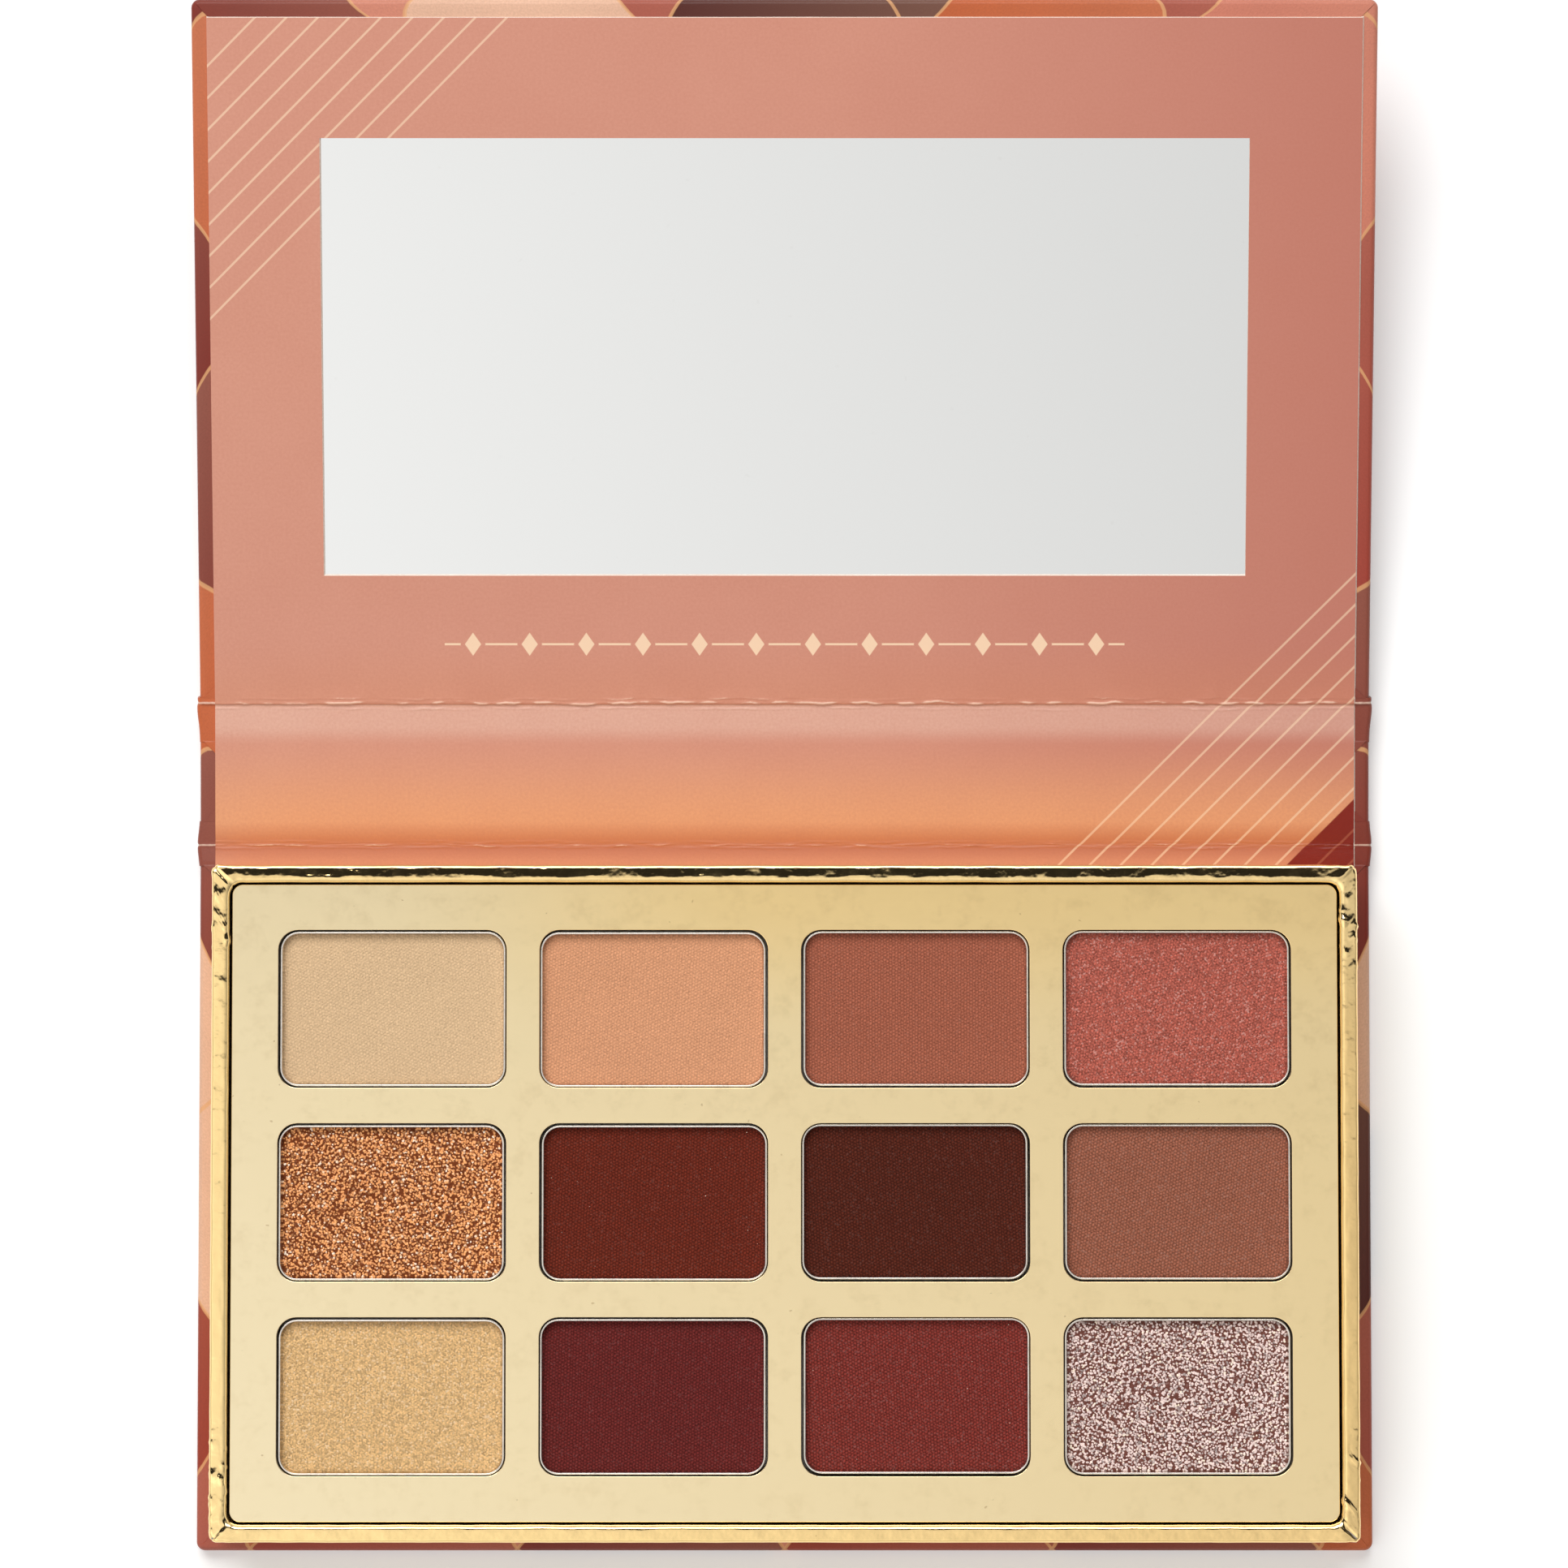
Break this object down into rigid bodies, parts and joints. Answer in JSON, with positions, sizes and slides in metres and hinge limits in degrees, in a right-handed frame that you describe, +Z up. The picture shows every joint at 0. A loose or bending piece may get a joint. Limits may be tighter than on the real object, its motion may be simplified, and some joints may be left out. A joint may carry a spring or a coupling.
{
  "type": "eyeshadow palette",
  "caption": "Book-style makeup palette: a wrapped board case whose mirrored lid folds on paper creases over a foil tray of pressed powder pans seen through a window card.",
  "frame": {"origin": "centre of the base's flat underside, on the surface that the palette lies on", "axes": "+X to the right across the palette, +Y from the base towards the opened lid, +Z up"},
  "size_m": [0.1366, 0.179, 0.0177],
  "materials": {
    "greyboard": "raw greyboard",
    "outer_print": "satin printed wrap",
    "liner_print": "matte printed liner",
    "gold_foil": "satin gold foil on card",
    "foam_riser": "light filler board",
    "tinplate": "bright tinplate",
    "adhesive": "clear adhesive",
    "magnet": "nickel plated",
    "mirror_glass": "polished silvered glass",
    "powder_cream": "matte pressed powder",
    "powder_peach": "matte pressed powder",
    "powder_cinnamon": "matte pressed powder",
    "powder_rose": "pearl pressed powder",
    "powder_copper": "glitter pressed powder",
    "powder_chestnut": "matte pressed powder",
    "powder_espresso": "matte pressed powder",
    "powder_bronze": "satin pressed powder",
    "powder_champagne": "pearl pressed powder",
    "powder_plum": "matte pressed powder",
    "powder_garnet": "matte pressed powder with a little sparkle",
    "powder_lilac": "glitter pressed powder"
  },
  "bodies": {
    "base": {"base_board": "greyboard", "base_wrap": "outer_print", "base_liner": "liner_print", "tray_wall_front": "greyboard", "tray_wall_back": "greyboard", "tray_wall_left": "greyboard", "tray_wall_right": "greyboard", "tray_foil": "gold_foil", "tray_riser": "foam_riser", "pan_grid": "greyboard", "window_card": "gold_foil", "pan_glue_pads": "adhesive", "tray_magnets": "magnet", "pan_01": "tinplate", "powder_01": "powder_cream", "pan_02": "tinplate", "powder_02": "powder_peach", "pan_03": "tinplate", "powder_03": "powder_cinnamon", "pan_04": "tinplate", "powder_04": "powder_rose", "pan_05": "tinplate", "powder_05": "powder_copper", "pan_06": "tinplate", "powder_06": "powder_chestnut", "pan_07": "tinplate", "powder_07": "powder_espresso", "pan_08": "tinplate", "powder_08": "powder_bronze", "pan_09": "tinplate", "powder_09": "powder_champagne", "pan_10": "tinplate", "powder_10": "powder_plum", "pan_11": "tinplate", "powder_11": "powder_garnet", "pan_12": "tinplate", "powder_12": "powder_lilac"},
    "spine": {"spine_board": "greyboard", "spine_wrap": "outer_print", "spine_liner": "liner_print", "base_crease_wrap": "outer_print", "base_crease_liner": "liner_print"},
    "lid": {"lid_back_board": "greyboard", "lid_frame_board": "greyboard", "lid_wrap": "outer_print", "lid_liner": "liner_print", "lid_magnets": "magnet", "mirror_tape": "adhesive", "mirror": "mirror_glass", "lid_crease_wrap": "outer_print", "lid_crease_liner": "liner_print"}
  },
  "joints": [
    {"name": "spine_hinge", "type": "hinge", "parent": "base", "child": "spine", "pos_m": [0, 0.042, 0.00025], "axis": [1, 0, 0], "range_deg": [-4, 86], "deforming": ["base_crease_wrap", "base_crease_liner"]},
    {"name": "lid_hinge", "type": "hinge", "parent": "spine", "child": "lid", "pos_m": [0, 0.05816, 0.00138], "axis": [1, 0, 0], "range_deg": [-6, 84], "deforming": ["lid_crease_wrap", "lid_crease_liner"]}
  ]
}
